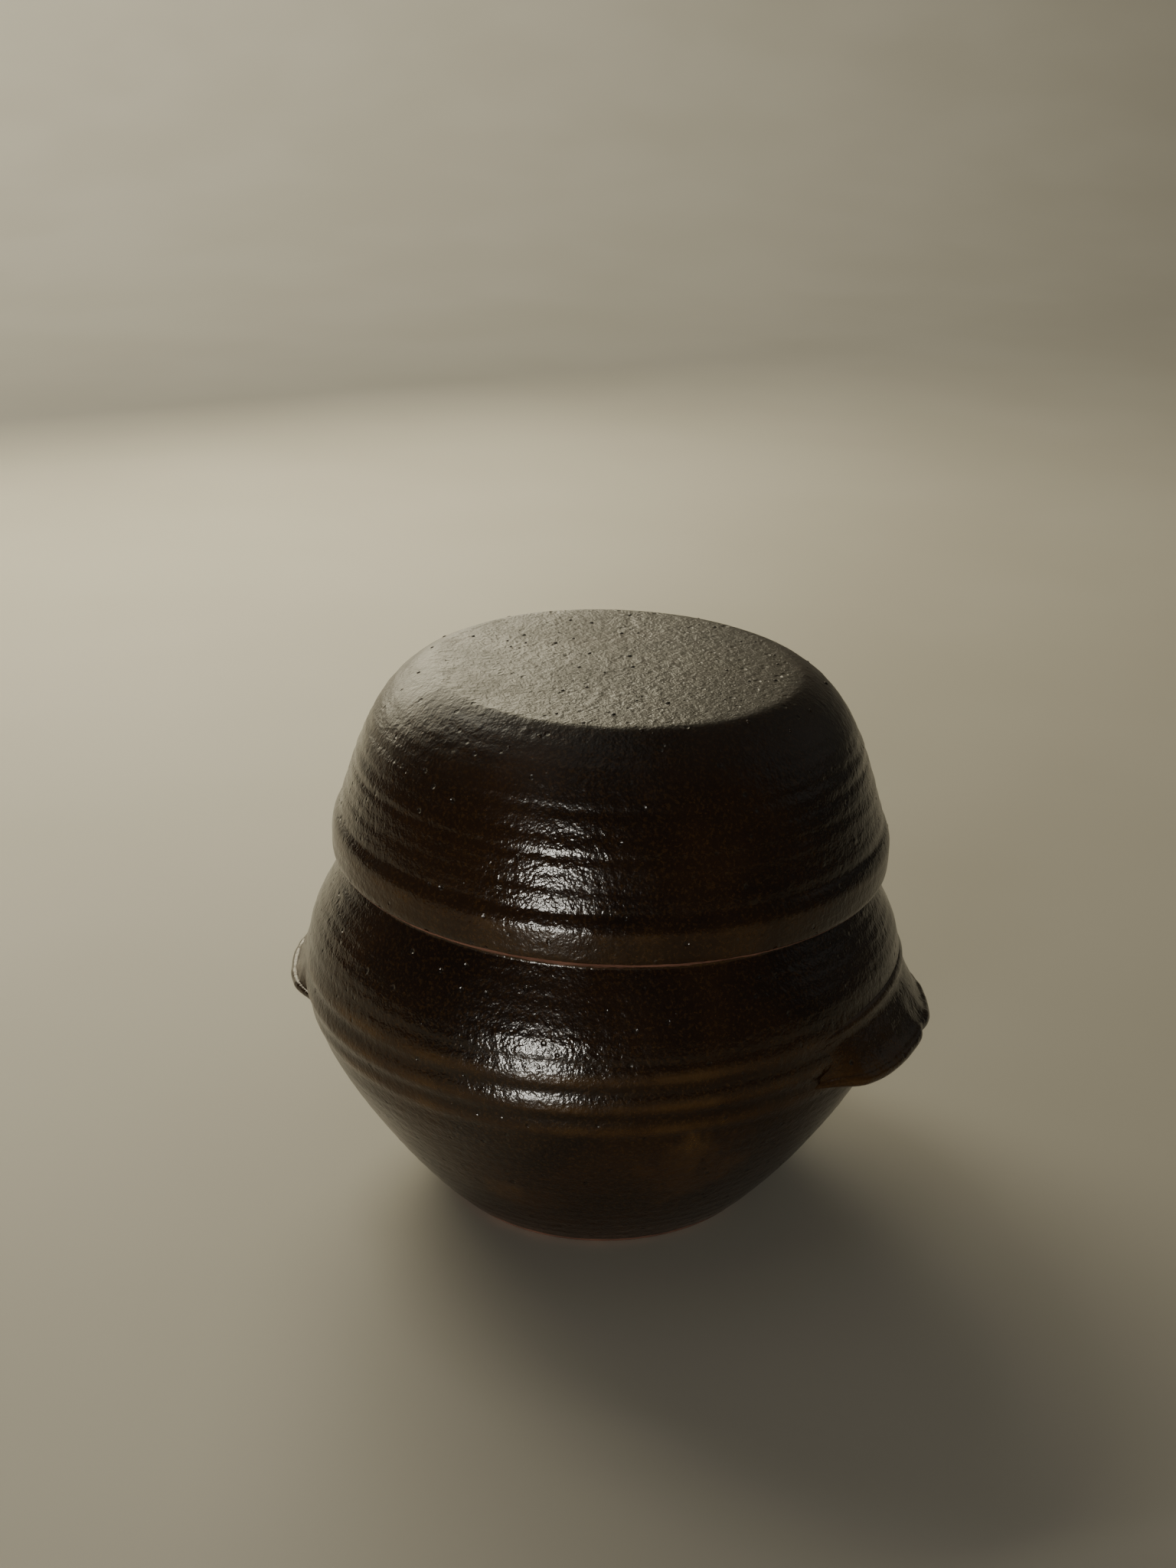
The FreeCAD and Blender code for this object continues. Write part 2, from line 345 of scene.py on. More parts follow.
def throwing_tree():
    """Turns a half section into a closed pot wall, then gives it a hand-thrown surface and its lean."""
    t = geometry_tree("thrown clay")
    floats = {"Wobble": 0.0003, "Wobble Size": 0.05, "Ripple": 0.00008, "Ripple Pitch": 0.0032,
              "Lumps": 0.00006, "Slope From": 0.0, "Slope Full": 0.0001, "Seed": 1.0}
    t.socket("Segments", "NodeSocketInt", default=400)
    for name, value in floats.items():
        t.socket(name, "NodeSocketFloat", default=value)
    t.socket("Slope", "NodeSocketVector")
    t.socket("Aside", "NodeSocketVector")
    t.socket("Clay", "NodeSocketMaterial")
    into = t.add("NodeGroupInput").outputs
    count = t.add("GeometryNodeAttributeDomainSize", {"component": "MESH"}, {"Geometry": into["Geometry"]})
    row_count = count.outputs["Point Count"]
    columns = t.maths("ADD", into["Segments"], 1.0)
    grid = t.add("GeometryNodeMeshGrid", None, {"Vertices X": columns, "Vertices Y": row_count})
    index = t.add("GeometryNodeInputIndex").outputs[0]
    row = t.maths("MODULO", index, row_count)
    column = t.maths("FLOOR", t.maths("DIVIDE", index, row_count))
    angle = t.maths("MULTIPLY", t.maths("DIVIDE", column, into["Segments"]), 2 * math.pi)
    here = t.add("GeometryNodeInputPosition").outputs[0]

    def sampled(value, data_type):
        """A value of the half section at this row's point."""
        node = t.add("GeometryNodeSampleIndex", {"data_type": data_type, "clamp": True},
                     {"Geometry": into["Geometry"], "Value": value, "Index": row})
        return node.outputs["Value"]

    section = sampled(here, "FLOAT_VECTOR")
    turned = t.add("ShaderNodeVectorRotate", {"rotation_type": "Z_AXIS"}, {"Vector": section, "Angle": angle})
    shape = grid.outputs["Mesh"]
    for name in ("bare", "thin", "loose"):
        store = t.add("GeometryNodeStoreNamedAttribute", {"data_type": "FLOAT", "domain": "POINT"},
                      {"Geometry": shape, "Name": name, "Value": sampled(t.carried(name), "FLOAT")})
        shape = store.outputs["Geometry"]
    wall = t.add("GeometryNodeSetPosition", None, {"Geometry": shape, "Position": turned.outputs["Vector"]})
    closed = t.add("GeometryNodeMergeByDistance", None,
                   {"Geometry": wall.outputs["Geometry"], "Distance": 1e-6})
    split = t.parts(here)
    around = t.maths("DIVIDE", t.maths("ARCTAN2", split["Y"], split["X"]), 2 * math.pi)
    wobble = t.maths("SUBTRACT", t.noise(here, t.maths("DIVIDE", 1.0, into["Wobble Size"]), 2.0, 0.5, 0.0,
                                         into["Seed"]), 0.5)
    turns = t.maths("ADD", t.maths("DIVIDE", split["Z"], into["Ripple Pitch"]), around)
    fade = t.noise(here, 45.0, 1.0, 0.5, 0.0, into["Seed"])
    ripple = t.maths("MULTIPLY", t.maths("SINE", t.maths("MULTIPLY", turns, 2 * math.pi)), fade)
    flat = t.vector_maths("MULTIPLY", here, (1.0, 1.0, 1.4))
    lumps = t.maths("SUBTRACT", t.noise(flat, 300.0, 3.0, 0.6, 0.0, into["Seed"]), 0.5)
    push = t.maths("MULTIPLY", wobble, into["Wobble"])
    push = t.maths("MULTIPLY_ADD", ripple, into["Ripple"], push)
    push = t.maths("MULTIPLY_ADD", lumps, into["Lumps"], push)
    push = t.maths("MULTIPLY", push, t.carried("loose"))
    outward = t.vector_maths("SCALE", t.add("GeometryNodeInputNormal").outputs["Normal"], push)
    rough = t.add("GeometryNodeSetPosition", None, {"Geometry": closed.outputs["Geometry"], "Offset": outward})

    amount = t.ramp(split["Z"], into["Slope From"], into["Slope Full"])
    drop = t.maths("MULTIPLY", t.vector_maths("DOT_PRODUCT", here, into["Slope"]), -1.0)
    above = t.maths("SUBTRACT", split["Z"], into["Slope Full"])
    aside = t.vector_maths("ADD", t.vector_maths("SCALE", into["Slope"], above), into["Aside"])
    tilt = t.vector_maths("ADD", aside, t.add("ShaderNodeCombineXYZ", None, {"Z": drop}).outputs[0])
    lean = t.add("GeometryNodeSetPosition", None, {"Geometry": rough.outputs["Geometry"],
                                                   "Offset": t.vector_maths("SCALE", tilt, amount)})
    shaded = t.add("GeometryNodeSetShadeSmooth", None, {"Geometry": lean.outputs["Geometry"]})
    real = t.add("GeometryNodeRealizeInstances", None, {"Geometry": shaded.outputs[0]})
    done = t.add("GeometryNodeSetMaterial", None, {"Geometry": real.outputs[0], "Material": into["Clay"]})
    t.add("NodeGroupOutput", None, {"Geometry": done.outputs["Geometry"]})
    return t.tree


def pimple_tree():
    """Small domes of grit under the glaze, scattered over a surface."""
    t = geometry_tree("glaze pimples")
    t.socket("Density", "NodeSocketFloat", default=2000.0)
    t.socket("Smallest", "NodeSocketFloat", default=0.0003)
    t.socket("Largest", "NodeSocketFloat", default=0.0007)
    t.socket("Lowest", "NodeSocketFloat", default=0.0)
    t.socket("Proud", "NodeSocketFloat", default=0.2)
    t.socket("Seed", "NodeSocketInt", default=3)
    t.socket("Clay", "NodeSocketMaterial")
    into = t.add("NodeGroupInput").outputs
    here = t.add("GeometryNodeInputPosition").outputs[0]
    split = t.parts(here)
    outward = t.vector_maths("DOT_PRODUCT", t.add("GeometryNodeInputNormal").outputs["Normal"],
                             t.vector_maths("NORMALIZE", t.vector_maths("SUBTRACT", here, (0.0, 0.0, 0.055))))
    outside = t.maths("GREATER_THAN", outward, 0.2)
    high = t.maths("GREATER_THAN", split["Z"], into["Lowest"])
    glazed = t.maths("LESS_THAN", t.carried("bare"), 0.05)
    chosen = t.maths("MULTIPLY", t.maths("MULTIPLY", outside, high), glazed)
    density = t.maths("MULTIPLY", chosen, into["Density"])
    spots = t.add("GeometryNodeDistributePointsOnFaces", {"distribute_method": "RANDOM"},
                  {"Mesh": into["Geometry"], "Density": density, "Seed": into["Seed"]})
    dome = t.add("GeometryNodeMeshUVSphere", None, {"Segments": 8, "Rings": 6, "Radius": 1.0})
    size = t.add("FunctionNodeRandomValue", {"data_type": "FLOAT"}, {"Seed": into["Seed"]})
    t.feed(size.inputs[2], into["Smallest"])
    t.feed(size.inputs[3], into["Largest"])
    width = size.outputs[1]
    squat = t.add("ShaderNodeCombineXYZ", None, {
        "X": width, "Y": width, "Z": t.maths("MULTIPLY", width, into["Proud"])}).outputs[0]
    placed = t.add("GeometryNodeInstanceOnPoints", None, {
        "Points": spots.outputs["Points"], "Instance": dome.outputs["Mesh"],
        "Rotation": spots.outputs["Rotation"], "Scale": squat})
    real = t.add("GeometryNodeRealizeInstances", None, {"Geometry": placed.outputs["Instances"]})
    marked = t.add("GeometryNodeStoreNamedAttribute", {"data_type": "FLOAT", "domain": "POINT"},
                   {"Geometry": real.outputs[0], "Name": "speck", "Value": 1.0})
    shaded = t.add("GeometryNodeSetShadeSmooth", None, {"Geometry": marked.outputs[0]})
    done = t.add("GeometryNodeSetMaterial", None, {"Geometry": shaded.outputs[0], "Material": into["Clay"]})
    t.add("NodeGroupOutput", None, {"Geometry": done.outputs["Geometry"]})
    return t.tree


def grown(name, source, tree, values):
    """A new plain mesh object: what a node tree makes of a source object with these input values."""
    modifier = source.modifiers.new("shape", "NODES")
    modifier.node_group = tree
    names = {item.name: item.identifier for item in tree.interface.items_tree if item.in_out == "INPUT"}
    for key, value in values.items():
        modifier[names[key]] = value
    bpy.context.view_layer.update()
    depsgraph = bpy.context.evaluated_depsgraph_get()
    mesh = bpy.data.meshes.new_from_object(source.evaluated_get(depsgraph), depsgraph=depsgraph)
    source.modifiers.remove(modifier)
    made = bpy.data.objects.new(name, mesh)
    mesh.name = name
    bpy.context.scene.collection.objects.link(made)
    return made


def outline_object(name, outline):
    """A half section as a bare polyline mesh that carries its surface values."""
    mesh = bpy.data.meshes.new(name)
    mesh.from_pydata([(r * MM, 0.0, z * MM) for r, z, *_ in outline],
                     [(i, i + 1) for i in range(len(outline) - 1)], [])
    for column, label in enumerate(("bare", "thin", "loose")):
        layer = mesh.attributes.new(label, "FLOAT", "POINT")
        layer.data.foreach_set("value", [float(row[column + 2]) for row in outline])
    made = bpy.data.objects.new(name, mesh)
    bpy.context.scene.collection.objects.link(made)
    return made


def turn_outwards(made):
    """Flips a closed mesh whose faces point inwards."""
    mesh = made.data
    mesh.calc_loop_triangles()
    points = [v.co for v in mesh.vertices]
    volume = sum(points[a].dot(points[b].cross(points[c])) for a, b, c in
                 (tri.vertices for tri in mesh.loop_triangles))
    if volume < 0:
        mesh.flip_normals()
    return made


def thrown_piece(name, outline, segments, material, values):
    """A pot wall from its half section, with the half section removed afterwards."""
    source = outline_object(name + "_section", outline)
    settings = {"Segments": segments, "Clay": material, "Slope": SEAT_SLOPE,
                "Slope From": SLOPE_FROM * MM, "Slope Full": SLOPE_FULL * MM}
    settings.update(values)
    made = grown(name, source, throwing, settings)
    bpy.data.objects.remove(source)
    return turn_outwards(made)


# ---------------------------------------------------------------- ear handles

# The lip's thickness, the angle at which the edge's circle meets the belly, and the root on the wall
EAR_LIP = 3.4
EAR_HALF_ANGLE = math.radians(37)
EAR_ROOT = 63.4
EAR_ROOT_RISE = 2.2
EAR_ROOT_DROP = 4.5
EAR_RIDGE = 0.6

# How far each end is thumbed down, how deep the strip bites into the wall, and the fingers' unevenness
EAR_END = math.radians(12)
EAR_SINK = 1.3
EAR_PRESS = 0.9
EAR_NIBBLE = 0.35
EAR_NICK = 0.65
EAR_NICK_WIDTH = math.radians(2.0)

# How finely it is divided along its length and around its section
EAR_STEPS = 220
EAR_TOP_POINTS = 22
EAR_LIP_POINTS = 10
EAR_UNDER_POINTS = 12


def ear_edge(angle, ends):
    """The ear's outer edge in plan: an arc of a smaller circle, thumbed down into the wall at both ends."""
    end_x = BELLY * math.cos(EAR_HALF_ANGLE)
    centre = (EAR_TIP**2 - BELLY**2) / (2 * (EAR_TIP - end_x))
    radius = EAR_TIP - centre
    edge = centre * math.cos(angle) + math.sqrt(max(radius**2 - (centre * math.sin(angle)) ** 2, 0))
    near = min(angle - ends[0], ends[1] - angle) / EAR_END
    return BELLY + (edge - BELLY) * smooth(near)


def smooth(value):
    """0 below 0, 1 above 1, and a smooth step between."""
    value = max(0.0, min(1.0, value))
    return value * value * (3 - 2 * value)


def ear_section(angle, seed, level, notch, ends):
    """One closed section of the ear at an angle from its middle, as (radius, height, thin) rows."""
    belly = jar_wall_radius(level)
    reach = ear_edge(angle, ends) - BELLY
    share = max(reach, 0.0) / (EAR_TIP - BELLY)
    press = noise.noise(Vector((angle * 4.6, seed, 0.0)))
    nibble = noise.noise(Vector((angle * 16.0, seed, 3.0)))
    height = level + EAR_PRESS * press + EAR_NIBBLE * nibble
    lip = EAR_LIP * (0.25 + 0.75 * share**0.6) * (1 + 0.12 * nibble)
    tip = belly + reach * (1 - 0.035 * (1 + press)) + 0.4 * share - 0.7 * (1 - share) + 0.3 * nibble * share
    nick = EAR_NICK * bell(angle, notch, EAR_NICK_WIDTH)
    root_top = EAR_ROOT + EAR_ROOT_RISE * share
    root_low = height - lip / 2 - EAR_ROOT_DROP * share**0.6
    wall_top = jar_wall_radius(root_top)
    wall_low = jar_wall_radius(root_low)
    tip_top = (tip - lip / 2, height + lip / 2)
    tip_low = (tip - lip / 2, height - lip / 2)
    fall = root_top - tip_top[1]
    out = tip_top[0] - wall_top
    top = bezier_run((wall_top - 0.1, root_top), (wall_top + out * 0.22, root_top - fall * 0.42),
                     (tip_top[0] - out * 0.40, tip_top[1] + fall * 0.26), tip_top, EAR_TOP_POINTS)
    rim = [(tip_top[0] + (r - tip_top[0]) * (1 - nick), z)
           for r, z in arc_run((tip_top[0], height), lip / 2, 90, -90, EAR_LIP_POINTS)]
    under = bezier_run(tip_low, (tip_low[0] - out * 0.5, tip_low[1] + 0.2),
                       (wall_low + 0.6, root_low + 2.0), (wall_low - 0.1, root_low), EAR_UNDER_POINTS)
    inside = [(wall_low - EAR_SINK, root_low), (belly - EAR_SINK - 0.6, height),
              (wall_top - EAR_SINK, root_top)]
    section = []
    for step, (r, z) in enumerate(top):
        down = step / EAR_TOP_POINTS
        streak = noise.noise(Vector((angle * 3.5, z * 0.5, seed + 7.0)))
        root_ridge = bell(step, 2.2, 1.5)
        r += 0.35 * streak * share * down + EAR_RIDGE * share**0.5 * root_ridge
        r -= 0.3 * share * bell(step, 6.0, 2.5)
        section.append((r, z, 0.2 + 0.25 * root_ridge * share + 0.3 * share * down**5))
    section += [(r, z, 0.2 + 0.3 * share) for r, z in rim]
    section += [(r, z, 0.2) for r, z in under]
    section += [(r, z, 0.0) for r, z in inside]
    return section


def ear_handle(name, material, turn, seed, level, notch, ends):
    """A crescent strip pressed onto the belly, turned about the jar's axis to its side."""
    vertices = []
    thin = []
    for step in range(EAR_STEPS + 1):
        angle = EAR_HALF_ANGLE * 1.04 * (2 * step / EAR_STEPS - 1)
        for r, z, thinness in ear_section(angle, seed, level, notch, ends):
            vertices.append((r * MM * math.cos(angle + turn), r * MM * math.sin(angle + turn), z * MM))
            thin.append(thinness)
    around = len(vertices) // (EAR_STEPS + 1)
    faces = []
    for step in range(EAR_STEPS):
        for k in range(around):
            low = step * around
            high = low + around
            faces.append((low + k, low + (k + 1) % around, high + (k + 1) % around, high + k))
    faces.append(tuple(range(around)))
    faces.append(tuple(reversed(range(EAR_STEPS * around, (EAR_STEPS + 1) * around))))
    mesh = bpy.data.meshes.new(name)
    mesh.from_pydata(vertices, [], faces)
    for label, values in (("bare", [0.0] * len(vertices)), ("thin", thin)):
        mesh.attributes.new(label, "FLOAT", "POINT").data.foreach_set("value", values)
    mesh.polygons.foreach_set("use_smooth", [True] * len(mesh.polygons))
    mesh.materials.append(material)
    made = bpy.data.objects.new(name, mesh)
    bpy.context.scene.collection.objects.link(made)
    return turn_outwards(made)


# ---------------------------------------------------------------- surface effects shared by the materials

THICK_GLAZE = (0.0075, 0.0032, 0.0014, 1)
WARM_GLAZE = (0.020, 0.0085, 0.0028, 1)
GLAZE_FLECK = (0.060, 0.029, 0.008, 1)
GLAZE_PIT = (0.010, 0.006, 0.004, 1)
DEEP_AMBER = (0.055, 0.024, 0.006, 1)
PALE_AMBER = (0.100, 0.050, 0.013, 1)
DEEP_CLAY = (0.110, 0.044, 0.026, 1)
PALE_CLAY = (0.200, 0.090, 0.056, 1)
CLAY_GRIT = (0.070, 0.036, 0.024, 1)
DRY_BROWN = (0.033, 0.026, 0.016, 1)
DRY_OLIVE = (0.064, 0.054, 0.035, 1)
DRY_BLUSH = (0.070, 0.040, 0.026, 1)
DRY_PORE = (0.045, 0.032, 0.022, 1)
DRY_SCRATCH = (0.26, 0.23, 0.18, 1)
DRY_SPECK = (0.018, 0.011, 0.007, 1)
FLOOR_SHADE = (0.47, 0.445, 0.38, 1)
FLOOR_PALE = (0.50, 0.475, 0.41, 1)


def shader_group(name, inputs, outputs):
    tree = Tree(bpy.data.node_groups.new(name, "ShaderNodeTree"))
    for label, (kind, value) in inputs.items():
        tree.socket(label, kind, default=value)
    for label, kind in outputs.items():
        tree.socket(label, kind, output=True)
    return tree, tree.add("NodeGroupInput").outputs


def glaze_skin_group():
    """Orange peel, pinholes and tiny blisters of a thick ash glaze."""
    t, into = shader_group("glaze skin", {
        "Place": ("NodeSocketVector", (0, 0, 0)), "Peel": ("NodeSocketFloat", 1.0),
        "Pinholes": ("NodeSocketFloat", 1.0)},
        {"Height": "NodeSocketFloat", "Pits": "NodeSocketFloat", "Flecks": "NodeSocketFloat"})
    coarse = t.noise(into["Place"], 520.0, 2.0, 0.55, 0.3)
    fine = t.noise(into["Place"], 1500.0, 1.0, 0.5, 0.2, 2.0)
    cells = t.add("ShaderNodeTexVoronoi", {"feature": "F1"}, {"Vector": into["Place"], "Scale": 330.0})
    picked = t.maths("GREATER_THAN", t.chance(cells, 0), 0.80)
    hole = t.maths("MULTIPLY", t.ramp(cells.outputs["Distance"], 0.10, 0.26, 1.0, 0.0), picked)
    blister_cells = t.add("ShaderNodeTexVoronoi", {"feature": "F1"}, {"Vector": into["Place"], "Scale": 210.0})
    blister = t.maths("MULTIPLY", t.ramp(blister_cells.outputs["Distance"], 0.05, 0.30, 1.0, 0.0),
                      t.maths("GREATER_THAN", t.chance(blister_cells, 1), 0.86))
    peel = t.maths("MULTIPLY_ADD", fine, 0.45, coarse)
    height = t.maths("MULTIPLY", peel, into["Peel"])
    height = t.maths("MULTIPLY_ADD", t.maths("MULTIPLY", hole, into["Pinholes"]), -0.9, height)
    height = t.maths("MULTIPLY_ADD", blister, 0.5, height)
    flecks = t.ramp(t.noise(into["Place"], 1250.0, 2.0, 0.6, 0.1, 5.0), 0.50, 0.64)
    t.add("NodeGroupOutput", None, {"Height": height, "Pits": t.maths("MULTIPLY", hole, into["Pinholes"]),
                                    "Flecks": flecks})
    return t.tree


def glaze_colour_group():
    """Thick glaze is nearly black brown, and it turns to amber where it ran thin."""
    t, into = shader_group("glaze colour", {
        "Place": ("NodeSocketVector", (0, 0, 0)), "Thinness": ("NodeSocketFloat", 0.0),
        "Flecks": ("NodeSocketFloat", 0.0), "Pits": ("NodeSocketFloat", 0.0)},
        {"Color": "NodeSocketColor"})
    cloud = t.noise(into["Place"], 26.0, 3.0, 0.55, 0.6, 1.0)
    runs = t.noise(t.vector_maths("MULTIPLY", into["Place"], (1.0, 1.0, 0.35)), 60.0, 3.0, 0.6, 0.4, 4.0)
    base = t.blend(t.ramp(cloud, 0.35, 0.70), THICK_GLAZE, WARM_GLAZE)
    base = t.blend(t.maths("MULTIPLY", into["Flecks"], 0.35), base, GLAZE_FLECK)
    amber = t.blend(t.ramp(runs, 0.4, 0.7), DEEP_AMBER, PALE_AMBER)
    share = t.maths("MULTIPLY", into["Thinness"], t.ramp(runs, 0.25, 0.62, 0.35, 1.0), clamp=True)
    colour = t.blend(share, base, amber)
    colour = t.blend(t.maths("MULTIPLY", into["Pits"], 0.7), colour, GLAZE_PIT)
    t.add("NodeGroupOutput", None, {"Color": colour})
    return t.tree


def bare_clay_group():
    """Iron-red stoneware with grit, where no glaze was laid."""
    t, into = shader_group("bare clay", {"Place": ("NodeSocketVector", (0, 0, 0))},
                           {"Color": "NodeSocketColor"})
    tone = t.noise(into["Place"], 90.0, 3.0, 0.6, 0.2)
    grit = t.noise(into["Place"], 1400.0, 2.0, 0.6, 0.0, 3.0)
    colour = t.blend(t.ramp(tone, 0.35, 0.7), DEEP_CLAY, PALE_CLAY)
    colour = t.blend(t.ramp(grit, 0.58, 0.72, 0.0, 0.6), colour, CLAY_GRIT)
    t.add("NodeGroupOutput", None, {"Color": colour})
    return t.tree


def smear_group():
    """A ragged patch around a place, where a finger or a run changed the glaze."""
    t, into = shader_group("smear", {
        "Place": ("NodeSocketVector", (0, 0, 0)), "Middle": ("NodeSocketVector", (0, 0, 0)),
        "Size": ("NodeSocketVector", (0.01, 0.01, 0.01)), "Raggedness": ("NodeSocketFloat", 1.0)},
        {"Mask": "NodeSocketFloat"})
    away = t.vector_maths("SUBTRACT", into["Place"], into["Middle"])
    near = t.vector_maths("LENGTH", t.vector_maths("DIVIDE", away, into["Size"]))
    drawn = t.vector_maths("MULTIPLY", into["Place"], (1.0, 1.0, 0.45))
    patchy = t.maths("SUBTRACT", t.noise(drawn, 170.0, 4.0, 0.65, 0.5, 11.0), 0.5)
    edge = t.maths("MULTIPLY_ADD", patchy, into["Raggedness"], near)
    t.add("NodeGroupOutput", None, {"Mask": t.ramp(edge, 0.35, 1.15, 1.0, 0.0)})
    return t.tree


# ---------------------------------------------------------------- materials

def new_material(name):
    material = bpy.data.materials.new(name)
    material.use_nodes = True
    material.node_tree.nodes.clear()
    return material, Tree(material.node_tree)


def place_and_values(t):
    """Object coordinates and the two surface values that the meshes carry."""
    return t.add("ShaderNodeTexCoord").outputs["Object"], t.painted("bare"), t.painted("thin")


def grouped(t, tree, inputs):
    node = t.add("ShaderNodeGroup", {"node_tree": tree})
    for name, value in inputs.items():
        t.feed(node.inputs[name], value)
    return node.outputs


def finish_surface(t, colour, roughness, height, strength, distance=0.0004):
    """Colour, roughness and relief into one Principled surface."""
    bump = t.add("ShaderNodeBump", None, {"Strength": strength, "Distance": distance, "Height": height})
    surface = t.add("ShaderNodeBsdfPrincipled", None, {
        "Base Color": colour, "Roughness": roughness, "Normal": bump.outputs["Normal"]})
    surface.inputs["IOR"].default_value = 1.52
    t.add("ShaderNodeOutputMaterial", None, {"Surface": surface.outputs["BSDF"]})


def glazed_stoneware(name, smears=(), dry_top=None):
    """Glazed clay. Each smear is a middle, a size and how much it thins the glaze, or thickens it when
    negative. dry_top is the height and radius of a dry lid top."""
    material, t = new_material(name)
    place, bare, thin = place_and_values(t)
    skin = grouped(t, glaze_skin, {"Place": place, "Peel": 1.0, "Pinholes": 1.0})
    thinness = thin
    for middle, size, strength in smears:
        mask = grouped(t, smear, {"Place": place, "Middle": middle, "Size": size, "Raggedness": 2.0})["Mask"]
        if strength > 0:
            thinness = t.maths("MAXIMUM", thinness, t.maths("MULTIPLY", mask, strength))
        else:
            thinness = t.maths("MULTIPLY_ADD", mask, strength, thinness, clamp=True)
    glaze = grouped(t, glaze_colour, {"Place": place, "Thinness": thinness, "Flecks": skin["Flecks"],
                                      "Pits": skin["Pits"]})
    clay = grouped(t, bare_clay, {"Place": place})
    edge = t.maths("MULTIPLY_ADD", t.maths("SUBTRACT", t.noise(place, 260.0, 2.0, 0.6), 0.5), 0.9, bare)
    uncovered = t.ramp(edge, 0.40, 0.60)
    colour = t.blend(uncovered, glaze["Color"], clay["Color"])
    gloss = t.ramp(t.noise(place, 70.0, 2.0, 0.5, 0.0, 6.0), 0.3, 0.7, 0.15, 0.24)
    height = skin["Height"]
    if dry_top:
        top_height, top_radius = dry_top
        dry, dry_colour, dry_height = dry_disc(t, place, top_height, top_radius)
        colour = t.blend(dry, colour, dry_colour)
        satin = t.ramp(t.parts(place)["Z"], top_height - 0.022, top_height - 0.005, 0.0, 0.20)
        gloss = t.maths("ADD", t.maths("MULTIPLY_ADD", dry, 0.02, gloss), satin)
        height = t.maths("ADD", height, t.maths("MULTIPLY", dry, dry_height))
    roughness = t.maths("MULTIPLY_ADD", uncovered, 0.6, gloss, clamp=True)
    finish_surface(t, colour, roughness, height, 0.6)
    return material


def dry_disc(t, place, top_height, top_radius):
    """The lid's flat top: dry, scuffed and grey-brown, with pores, scratches and a reddish blush."""
    split = t.parts(place)
    flat = t.add("ShaderNodeCombineXYZ", None, {"X": split["X"], "Y": split["Y"]}).outputs[0]
    reach = t.maths("DIVIDE", t.vector_maths("LENGTH", flat), top_radius)
    ragged = t.maths("MULTIPLY_ADD", t.maths("SUBTRACT", t.noise(place, 55.0, 3.0, 0.6), 0.5), 0.16, reach)
    inner = t.ramp(ragged, 0.98, 1.10, 1.0, 0.0)
    level = t.ramp(split["Z"], top_height - 0.0040, top_height - 0.0015)
    dry = t.maths("MULTIPLY", inner, level)
    tone = t.noise(flat, 38.0, 4.0, 0.6, 0.4, 9.0)
    colour = t.blend(t.ramp(tone, 0.3, 0.7), DRY_BROWN, DRY_OLIVE)
    blush = t.ramp(t.noise(flat, 30.0, 2.0, 0.5, 0.2, 12.0), 0.52, 0.72, 0.0, 0.55)
    colour = t.blend(blush, colour, DRY_BLUSH)
    turned = t.add("ShaderNodeVectorRotate", {"rotation_type": "Z_AXIS"},
                   {"Vector": flat, "Angle": math.radians(28)}).outputs["Vector"]
    combed = t.vector_maths("MULTIPLY", turned, (26.0, 2400.0, 1.0))
    scratch = t.ramp(t.noise(combed, 1.0, 1.0, 0.5, 0.0, 15.0), 0.71, 0.82)
    pores = t.add("ShaderNodeTexVoronoi", {"feature": "F1"}, {"Vector": place, "Scale": 260.0})
    pore = t.maths("MULTIPLY", t.ramp(pores.outputs["Distance"], 0.10, 0.34, 1.0, 0.0),
                   t.maths("GREATER_THAN", t.chance(pores, 2), 0.88))
    colour = t.blend(t.maths("MULTIPLY", pore, 0.6), colour, DRY_PORE)
    colour = t.blend(t.maths("MULTIPLY", scratch, 0.5), colour, DRY_SCRATCH)
    colour = t.blend(t.maths("MULTIPLY", t.painted("speck"), 0.85), colour, DRY_SPECK)
    sand = t.noise(place, 900.0, 3.0, 0.65, 0.0, 8.0)
    coarse = t.noise(t.vector_maths("MULTIPLY", turned, (0.7, 1.0, 1.0)), 300.0, 3.0, 0.6, 0.3, 21.0)
    height = t.maths("MULTIPLY_ADD", sand, 0.9, t.maths("MULTIPLY", pore, -1.8))
    height = t.maths("MULTIPLY_ADD", coarse, 1.7, height)
    height = t.maths("MULTIPLY_ADD", scratch, -0.8, height)
    return dry, colour, height


def pale_floor_material():
    material, t = new_material("pale floor")
    place = t.add("ShaderNodeTexCoord").outputs["Object"]
    tone = t.noise(place, 6.0, 2.0, 0.5)
    colour = t.blend(t.ramp(tone, 0.3, 0.7), FLOOR_SHADE, FLOOR_PALE)
    finish_surface(t, colour, 0.55, t.noise(place, 300.0, 2.0, 0.5), 0.05)
    return material


# ---------------------------------------------------------------- camera, floor and light

VIEW_TURN = math.radians(22)
CAMERA_DISTANCE = 0.4763
CAMERA_HEIGHT = 0.2944
CAMERA_PITCH = math.radians(21.74)
CAMERA_YAW = math.radians(-0.48)
CAMERA_ROLL = math.radians(0.25)
CAMERA_LENS = 47.99


def view_point(turn, height, distance):
    """A place around the jar: turn 0 is the camera's side, and a positive turn goes to its right."""
    angle = VIEW_TURN - math.pi / 2 + math.radians(turn)
    return Vector((distance * math.cos(angle), distance * math.sin(angle), height))


